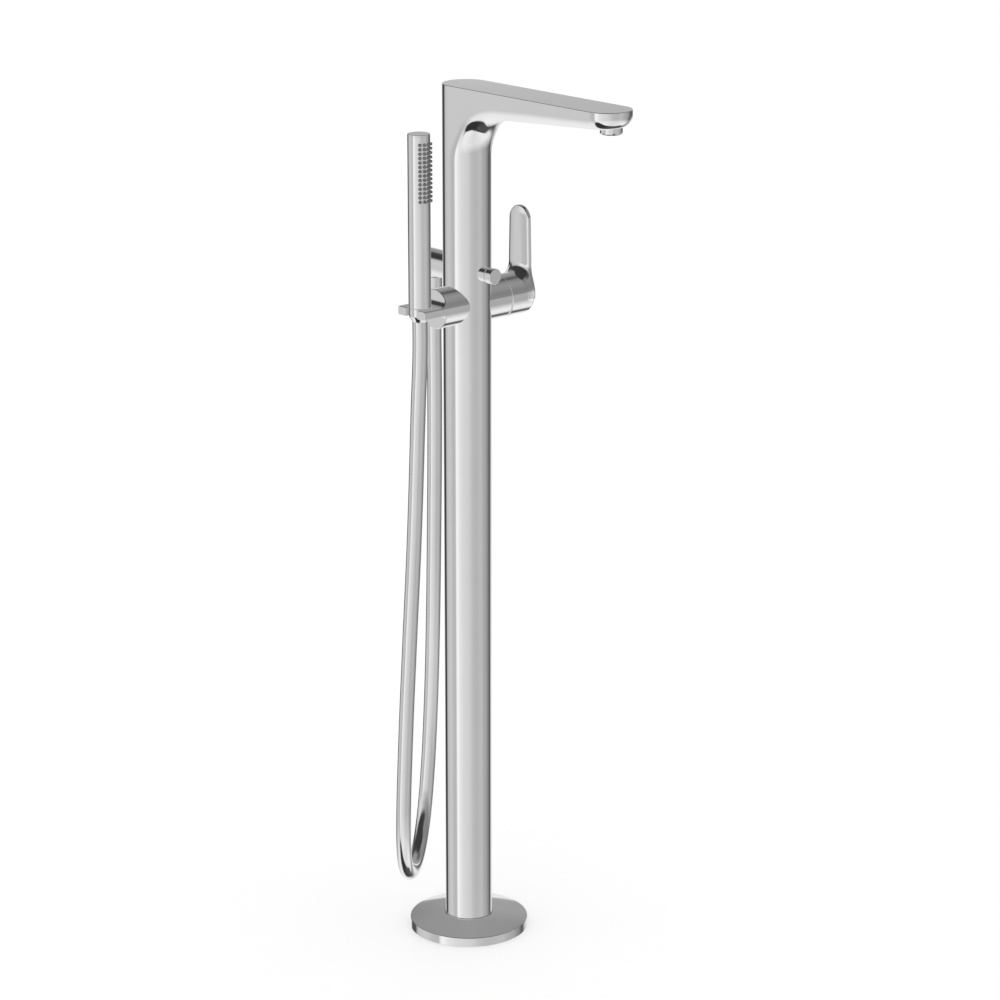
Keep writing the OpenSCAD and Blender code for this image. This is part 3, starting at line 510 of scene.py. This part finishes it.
make_piece("aerator_ring_skin", *skin(
    aerator_shape, cuts((-11.6, 11.6, 0.232)), cuts((-221.6, -198.4, 0.232)),
    cuts((898.1, 906.1, 0.25)),
), "stand", ["aerator_ring"], "chrome")

# ---------------------------------------------------------------- mixer and lever
MIXER_R = 22.35
MIXER_BORE_R = 20.25
MIXER_AT = (0, 0, MIXER_Z)
SEAM_X = 43.4
make_piece("mixer_sleeve_skin", *turned([
    (MIXER_BORE_R, AT_WALL, 0.2), (MIXER_BORE_R, SEAM_X, 0.3), (MIXER_R, SEAM_X, 0.3),
    (MIXER_R, AT_WALL, 0.2),
][::-1], MIXER_AT, "+X", closed=True, segments=160), "stand", ["mixer_sleeve"], "chrome")

CAP_X = 43.7
CAP_END_X = 76.3
CAP_EDGE_R = 3.6
CAVITY_X = 60.0
PLATE_T = 6.3
PLATE_IN_X = CAP_END_X - PLATE_T
PLATE_EDGE_R = 0.9
PLATE_IN_EDGE_R = 0.9
PLATE_BACK_FALL = 2.2
PLATE_BACK_W = 12.0
PLATE_FILLET_R = 12.0
ROOT_HALF_W = 15.5
TIP_R = 14.5
TIP_C_Z = MIXER_Z + 92 - TIP_R
ROOT_Z = MIXER_Z + 34.35
NOTCH_Z = MIXER_Z + 1.5
NOTCH_LEAN = math.radians(10)
HUB_X = 48.5
HUB_R = 8.4
BORE_R = 3.55
BORE_END_X = 66.1
PLATE_FOOT_Z = MIXER_Z + 4
EDGE_FADE = 12.0


def lever_shape(x, y, z):
    """A hollow cap in line with the sleeve, a plate on its outer end with a filled corner, and
    a wedge cut off its seam below the axis for the lean."""
    radius = np.hypot(y, z - MIXER_Z)
    taper = np.clip((z - ROOT_Z) / (TIP_C_Z - ROOT_Z), 0, 1)
    half = ROOT_HALF_W + (TIP_R - ROOT_HALF_W) * taper
    outline = np.where(z > TIP_C_Z, np.hypot(y, z - TIP_C_Z) - TIP_R, np.abs(y) - half)
    outline = np.maximum(outline, PLATE_FOOT_Z - z)
    fall = PLATE_BACK_FALL * np.clip(1 + outline / PLATE_BACK_W, 0, 1.1) ** 2
    plate = meet(outline, PLATE_IN_X + fall - x, PLATE_IN_EDGE_R)
    near_cap = 1 - smooth_step((radius - MIXER_R) / EDGE_FADE)
    edge = PLATE_EDGE_R + (CAP_EDGE_R - PLATE_EDGE_R) * near_cap
    whole = meet(join(radius - MIXER_R, plate, PLATE_FILLET_R), x - CAP_END_X, edge)
    whole = meet(whole, CAP_X - x, 0.35)
    cavity = np.maximum(radius - MIXER_BORE_R, x - CAVITY_X)
    whole = meet(whole, -cavity, 0.3)
    wedge = np.maximum(z - NOTCH_Z,
                       (x - CAP_X) * math.cos(NOTCH_LEAN) + (z - NOTCH_Z) * math.sin(NOTCH_LEAN))
    whole = meet(whole, -wedge, 0.3)
    hub = meet(meet(radius - HUB_R, HUB_X - x, 0.3), x - CAVITY_X - 1, 0.1)
    return meet(np.minimum(whole, hub), -np.maximum(radius - BORE_R, x - BORE_END_X), 0.2)


make_piece("lever_skin", *skin(
    lever_shape,
    cuts((43.3, 44.5, 0.2), (44.5, 58, 0.6), (58, 69, 0.5), (69, 76.7, 0.3)),
    cuts((-22.8, 22.8, 0.57)),
    cuts((671.2, 717.2, 0.575), (717.2, 770, 0.8), (770, 786.6, 0.4)),
), "lever", ["lever_handle"], "chrome")

# ---------------------------------------------------------------- diverter
DIVERTER_AT = (0, 0, DIVERTER_Z)
make_piece("diverter_collar_skin", *turned([
    (7.4, AT_WALL, 0.2), (7.4, 33.0, 0.4), (2.6, 33.0, 0.2), (2.6, AT_WALL, 0.2),
], DIVERTER_AT, "-Y", closed=True, segments=96), "stand", ["diverter_collar"], "chrome")
make_piece("diverter_knob_skin", *turned([
    (0, 34.6, 0), (8.2, 34.6, 0.8), (8.2, 43.4, 0.8), (0, 43.4, 0),
], DIVERTER_AT, "-Y", segments=96), "diverter", ["diverter_knob"], "chrome")

# ---------------------------------------------------------------- shower outlet
ELBOW_R = 14.3
NUT_TOP_Z = 713.4
elbow = merged([
    turned([(ELBOW_R, AT_WALL, 0.2), (ELBOW_R, 68.0, 1.5), (0, 68.0, 0)], DIVERTER_AT, "+Y"),
    turned([(0, 699, 0), (6.6, 699, 0.3), (6.6, 722, 0.3), (0, 722, 0)], (0, OUTLET_Y, 0), "+Z",
           segments=64),
])
make_piece("outlet_elbow_skin", *elbow, "stand", ["outlet_elbow"], "chrome")
elbow_nut = make_piece("elbow_hose_nut_skin", *turned([
    (7.6, HOSE_NUT_LOW_Z, 0.2), (8.9, HOSE_NUT_LOW_Z, 0.5), (8.9, NUT_TOP_Z, 0.4),
    (6.9, NUT_TOP_Z, 0.3), (6.9, 696.2, 0.2), (7.6, 696.0, 0.2),
], (0, OUTLET_Y, 0), "+Z", closed=True, segments=96), "stand", ["elbow_hose_nut"], "chrome")
cone_nut = make_piece("cone_nut_skin", *turned([
    (7.0, CONE_LOW_Z, 0.2), (8.0, CONE_LOW_Z, 0.35), (11.6, 690.5, 5.0), (11.6, 699.35, 0.3),
    (6.8, 699.35, 0.2),
], (HAND_X, 0, 0), "+Z", closed=True, segments=96), "hose_end", ["cone_nut"], "chrome")

# ---------------------------------------------------------------- holder
HOLDER_R = 20.65
STEP_X = -45.0
END_X = -76.3
FORK_TOP_Z = 699.1
FORK_LOW_Z = 690.0
SLOT_HALF = 8.75
SEAT_TOP_R = 11.84
SEAT_LOW_R = 11.8
HOLDER_EDGE_R = 0.8
STEP_FILLET_R = 9.0
STEP_LOW_FILLET_R = 4.0
SEAT_EDGE_R = 0.5
HOLDER_SINK = 0.6
INNER_END_X = -30.0
GRUB_X = -35.0
GRUB_R = 2.05


def holder_shape(x, y, z):
    """A round arm whose outer part is cut flat above and below, with a conical seat for the
    hose's nut and a slot out of its end."""
    radius = np.hypot(y, z - MIXER_Z)
    arm = meet(radius - HOLDER_R, END_X - x, HOLDER_EDGE_R)
    upper = join(z - FORK_TOP_Z, STEP_X - x, STEP_FILLET_R)
    lower = join(FORK_LOW_Z - z, STEP_X - x, STEP_LOW_FILLET_R)
    body = meet(meet(arm, upper, HOLDER_EDGE_R), lower, HOLDER_EDGE_R)
    share = (z - FORK_LOW_Z) / (FORK_TOP_Z - FORK_LOW_Z)
    seat = np.hypot(x - HAND_X, y) - (SEAT_LOW_R + (SEAT_TOP_R - SEAT_LOW_R) * share)
    slot = np.maximum(np.abs(y) - SLOT_HALF, x - HAND_X)
    body = meet(body, -np.minimum(seat, slot), SEAT_EDGE_R)
    inside = np.maximum(np.hypot(x, y) - (COLUMN_R - HOLDER_SINK), INNER_END_X - x)
    bore = np.maximum(np.hypot(x - GRUB_X, y) - GRUB_R, z - MIXER_Z)
    return meet(meet(body, -inside, 0.1), -bore, 0.2)


make_piece("holder_arm_skin", *skin(
    holder_shape,
    cuts((-76.8, -44, 0.4), (-44, -12, 0.8)),
    cuts((-21.1, 21.1, 0.422)),
    cuts((673, 689, 0.64), (689, 700.2, 0.4), (700.2, 715, 0.64)),
), "stand", ["holder_arm"], "chrome")

# ---------------------------------------------------------------- hand shower
HAND_AT = (HAND_X, 0, 0)
CAP_Z = HAND_TOP_Z - 1.6
make_piece("hand_tube_skin", *turned([
    (10.4, HAND_LOW_Z, 0.2), (HAND_R, HAND_LOW_Z, 0.4), (HAND_R, CAP_Z, 0.15), (10.4, CAP_Z, 0.1),
], HAND_AT, "+Z", closed=True), "hand_shower", ["hand_tube"], "chrome")
make_piece("hand_cap_skin", *turned([
    (0, CAP_Z, 0), (HAND_R, CAP_Z, 0.15), (HAND_R, HAND_TOP_Z, 0.45), (0, HAND_TOP_Z, 0),
], HAND_AT, "+Z"), "hand_shower", ["hand_cap"], "chrome")

NOZZLE_ROWS = 14
NOZZLE_PITCH = 4.45
NOZZLE_SIDES = 20
NOZZLE_TOP_Z = HAND_TOP_Z - 10
NOZZLE_ANGLES = [math.radians(a) for a in (-35.7, -11.9, 11.9, 35.7)]
NOZZLE_FORM = [(0, -0.6, 0), (1.7, -0.6, 0.1), (1.7, 0.4, 0.1), (1.4, 2.2, 0.55), (0.45, 2.2, 0.12),
               (0.35, 1.2, 0.1), (0, 1.2, 0)]
# A thin ring round the foot of each nozzle that carries painted shade for the gap between nozzle
# and tube.
SHADE_RING_FORM = [(1.5, -0.3, 0.05), (1.85, -0.3, 0.05), (1.85, 0.12, 0.1), (1.5, 0.12, 0.05)]


def on_tube(form, closed, segments):
    """The same small turned form at every nozzle's place."""
    points, faces, normals = turned(form, (0, 0, 0), "-Y", closed, segments)
    points, normals = np.array(points, float), np.array(normals, float)
    parts = []
    for row in range(NOZZLE_ROWS):
        for angle in NOZZLE_ANGLES:
            c, s = math.cos(angle), math.sin(angle)
            spin = np.array([[c, -s, 0], [s, c, 0], [0, 0, 1]])
            place = np.array([HAND_X + HAND_R * s, -HAND_R * c, NOZZLE_TOP_Z - row * NOZZLE_PITCH])
            parts.append((points @ spin.T + place, faces, normals @ spin.T))
    return merged(parts)


make_piece("spray_nozzles", *on_tube(NOZZLE_FORM, False, NOZZLE_SIDES), "hand_shower",
           ["nozzle_strip"], "grey_rubber")
# Painted shade: a near-black ring round each nozzle's foot, standing in for the shade in the gap.
make_piece("nozzle_gap_painted_shade", *on_tube(SHADE_RING_FORM, True, NOZZLE_SIDES), "hand_shower", [],
           "grey_rubber", NOZZLE_PAINTED_SHADE)

# ---------------------------------------------------------------- carried-over CAD nodes
SLOT_OF = {
    "base_plate": "steel", "foot_flange": "brass", "foot_screws": "steel", "neck_plug": "brass",
    "riser_tube": "copper", "aerator_insert": "grey_plastic", "aerator_washer": "black_rubber",
    "valve_body": "brass", "cartridge_housing": "brass", "cartridge_seal": "black_rubber",
    "cartridge_body": "white_plastic", "cartridge_nut": "brass",
    "cartridge_turret": "white_plastic", "spindle_pin": "steel", "lever_spindle": "steel",
    "lever_grub_screw": "steel", "diverter_bush": "brass", "diverter_stem": "steel",
    "diverter_piston": "brass", "diverter_rings": "black_rubber", "check_valve": "white_plastic",
    "elbow_washer": "black_rubber", "cone_washer": "black_rubber", "holder_stud": "brass",
    "holder_grub_screw": "steel", "hand_inlet": "brass", "hand_core": "white_plastic",
    "supply_tail_hot": "copper", "supply_tail_cold": "copper", "tail_nut_hot": "brass",
    "tail_nut_cold": "brass",
}
for node, slot in SLOT_OF.items():
    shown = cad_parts[node]
    shown.visible_glossy = False
    shown.data.materials.clear()
    shown.data.materials.append(FINISHES[slot])

# ---------------------------------------------------------------- floor and studio
FLOOR_HALF_M = 4.0
FLOOR_GLOW = 0.45
LIGHT_LEVEL = 0.85
FLOOR_MOTTLE = 0.985
GLOW_SPARE = 0.02
FLOOR_CORNERS = ((-1, -1), (1, -1), (1, 1), (-1, 1))


def light_path(tree, *kinds):
    """1 for a ray of any of these kinds."""
    path = add_node(tree, "ShaderNodeLightPath")
    found = path.outputs[kinds[0]]
    for kind in kinds[1:]:
        either = add_node(tree, "ShaderNodeMath", operation="MAXIMUM")
        tree.links.new(found, either.inputs[0])
        tree.links.new(path.outputs[kind], either.inputs[1])
        found = either.outputs[0]
    return found


def floor_material():
    """White where nothing shades it, and darker only in the object's own shadow."""
    made = bpy.data.materials.new("pale_floor")
    made.use_nodes = True
    tree = made.node_tree
    shader = tree.nodes["Principled BSDF"]
    place = add_node(tree, "ShaderNodeTexCoord").outputs["Object"]
    cloud = add_node(tree, "ShaderNodeTexNoise", {"Scale": 3.0, "Detail": 3.0})
    tree.links.new(place, cloud.inputs["Vector"])
    pale = (1 - FLOOR_GLOW) / LIGHT_LEVEL
    stops = [(0.3, even(pale * FLOOR_MOTTLE)), (0.7, even(pale))]
    tree.links.new(ramp(tree, cloud.outputs["Fac"], stops), shader.inputs["Base Color"])
    shader.inputs["Roughness"].default_value = 0.9
    shader.inputs["Specular IOR Level"].default_value = 0.0
    glow = add_node(tree, "ShaderNodeMath", operation="MULTIPLY")
    glow.inputs[1].default_value = FLOOR_GLOW + GLOW_SPARE
    seen = light_path(tree, "Is Camera Ray", "Is Glossy Ray", "Is Transmission Ray")
    tree.links.new(seen, glow.inputs[0])
    shader.inputs["Emission Color"].default_value = (1, 1, 1, 1)
    tree.links.new(glow.outputs[0], shader.inputs["Emission Strength"])
    return made


floor_mesh = bpy.data.meshes.new("floor")
floor_mesh.from_pydata([(x * FLOOR_HALF_M, y * FLOOR_HALF_M, 0) for x, y in FLOOR_CORNERS],
                       [], [(0, 1, 2, 3)])
floor_mesh.materials.append(floor_material())
floor = bpy.data.objects.new("floor", floor_mesh)
scene.collection.objects.link(floor)
floor.visible_glossy = False

# The studio that polished metal shows. Each ring holds tones by direction, in degrees from the
# side that the main view looks from, and the next ring takes over between two heights. The
# tones are readings of reflections in the photo, thinned and adjusted.
VIEW_SIDE = math.radians(227.6)
FLOOR_RING = [
    (-180, 240), (-130, 234), (-108, 230), (-84, 230), (-66, 205), (-50, 205), (-36, 235),
    (-12, 236), (12, 228), (45, 218), (70, 225), (96, 236), (118, 236), (130, 226), (138, 150),
    (147, 75), (154, 85), (162, 190), (171, 230), (180, 240),
]
ROUND_TONES = [
    (-121, 185), (-112, 193), (-95, 200), (-86, 196), (-75, 183), (-62, 183), (-56, 243),
    (-50, 245), (-42, 231), (-25, 217), (8, 205), (20, 191), (32, 183), (46, 181), (62, 187),
    (72, 185), (83, 170), (100, 160), (112, 134), (121, 118),
]
SIDE_RING = ([(-180, 238), (-160, 225), (-150, 58), (-130, 58)] + ROUND_TONES
             + [(128, 75), (134, 80), (142, 180), (150, 212), (166, 236), (180, 238)])
LEVEL_RING = ([(-180, 198), (-160, 190), (-150, 70), (-130, 58)] + ROUND_TONES
              + [(128, 80), (134, 88), (144, 81), (156, 106), (168, 137), (180, 198)])
SHINE_RING = [
    (-180, 232), (-150, 232), (-135, 90), (-126, 70), (-112, 190), (-95, 202), (-78, 225),
    (-50, 215), (0, 180), (40, 150), (75, 133), (110, 130), (135, 140), (150, 232), (180, 232),
]
RIM_RING = [
    (-180, 186), (-160, 150), (-150, 70), (-126, 70), (-112, 190), (-95, 202), (-78, 225),
    (-50, 215), (0, 180), (40, 150), (75, 133), (110, 130), (140, 135), (160, 165), (180, 186),
]
HIGH_RING = [
    (-180, 160), (-165, 128), (-150, 70), (-126, 70), (-112, 190), (-95, 198), (-77, 231),
    (-60, 215), (0, 160), (40, 140), (66, 128), (110, 129), (180, 160),
]
TOP_RING = [
    (-180, 150), (-163, 146), (-152, 120), (-145, 65), (-119, 55), (-95, 60), (-49, 51), (-19, 56),
    (10, 60), (25, 90), (32, 122), (39, 140), (65, 129), (108, 145), (131, 128), (141, 91),
    (149, 90), (170, 145), (180, 150),
]
ZENITH_RING = [(-180, 55), (180, 55)]
RINGS = [
    (-43, -23, SIDE_RING), (-20, -9, LEVEL_RING), (0, 4, SHINE_RING), (9.0, 9.5, RIM_RING),
    (9.5, 12, HIGH_RING), (22, 32, TOP_RING), (50, 62, ZENITH_RING),
]
# The dark patch of the floor: its tones, and the height in degrees that it ends at
PATCH_RING = [
    (-180, 68), (-165, 60), (-150, 54), (-110, 50), (-84, 48), (-20, 50), (90, 58), (110, 72),
    (125, 80), (150, 74), (180, 68),
]
PATCH_EDGE = [
    (-180, -57), (-165, -62), (-150, -65.5), (-130, -67), (-110, -66), (-96, -62.5), (-85, -58.5),
    (-76, -51.5), (-70, -46), (-64, -40), (-57, -38), (-50, -39), (-43, -42.5), (-35, -51),
    (-28, -60), (-20, -68.5), (-10, -73), (5, -76), (40, -79), (66, -78), (82, -75), (98, -70),
    (106, -64), (112, -58), (117, -54), (123, -52.5), (131, -51), (140, -49), (147, -49.5),
    (165, -53), (180, -57),
]
PATCH_BLUR = math.radians(3.5)


def studio_world():
    world = bpy.data.worlds.new("studio")
    scene.world = world
    world.use_nodes = True
    tree = world.node_tree
    back = tree.nodes["Background"]
    axes = add_node(tree, "ShaderNodeSeparateXYZ")
    tree.links.new(add_node(tree, "ShaderNodeTexCoord").outputs["Generated"], axes.inputs[0])
    bearing = add_node(tree, "ShaderNodeMath", operation="ARCTAN2")
    tree.links.new(axes.outputs["Y"], bearing.inputs[0])
    tree.links.new(axes.outputs["X"], bearing.inputs[1])
    swung = add_node(tree, "ShaderNodeMath", {1: VIEW_SIDE}, operation="SUBTRACT")
    tree.links.new(bearing.outputs[0], swung.inputs[0])
    wrapped = add_node(tree, "ShaderNodeMath", {1: math.pi, 2: -math.pi}, operation="WRAP")
    tree.links.new(swung.outputs[0], wrapped.inputs[0])
    spread = add_node(tree, "ShaderNodeMapRange", {"From Min": -math.pi, "From Max": math.pi})
    tree.links.new(wrapped.outputs[0], spread.inputs["Value"])
    tilt = add_node(tree, "ShaderNodeMath", operation="ARCSINE")
    tree.links.new(axes.outputs["Z"], tilt.inputs[0])

    def ring(pairs, colour):
        """A colour by direction, from pairs of an angle and a value."""
        stops = [((angle + 180) / 360, colour(value)) for angle, value in pairs]
        return ramp(tree, spread.outputs["Result"], stops)

    def mixed(factor, first, second):
        made = add_node(tree, "ShaderNodeMix", data_type="RGBA")
        tree.links.new(factor, made.inputs["Factor"])
        for socket, source in (("A", first), ("B", second)):
            if isinstance(source, tuple):
                made.inputs[socket].default_value = source
            else:
                tree.links.new(source, made.inputs[socket])
        return made.outputs["Result"]

    tone = ring(FLOOR_RING, grey)
    for low, high, pairs in RINGS:
        share = add_node(tree, "ShaderNodeMapRange",
                         {"From Min": math.radians(low), "From Max": math.radians(high)})
        tree.links.new(tilt.outputs[0], share.inputs["Value"])
        tone = mixed(share.outputs["Result"], tone, ring(pairs, grey))
    depth = ring(PATCH_EDGE, lambda height: even(-height / 90))
    above = add_node(tree, "ShaderNodeMath", {1: math.pi / 2}, operation="MULTIPLY_ADD")
    tree.links.new(depth, above.inputs[0])
    tree.links.new(tilt.outputs[0], above.inputs[2])
    share = add_node(tree, "ShaderNodeMapRange",
                     {"From Min": -PATCH_BLUR, "From Max": PATCH_BLUR},
                     interpolation_type="SMOOTHSTEP")
    tree.links.new(above.outputs[0], share.inputs["Value"])
    tone = mixed(share.outputs["Result"], ring(PATCH_RING, grey), tone)
    plain = mixed(light_path(tree, "Is Camera Ray", "Is Transmission Ray"),
                  even(LIGHT_LEVEL), even(1.0))
    tree.links.new(mixed(light_path(tree, "Is Glossy Ray"), plain, tone), back.inputs["Color"])
    back.inputs["Strength"].default_value = 1.0


studio_world()
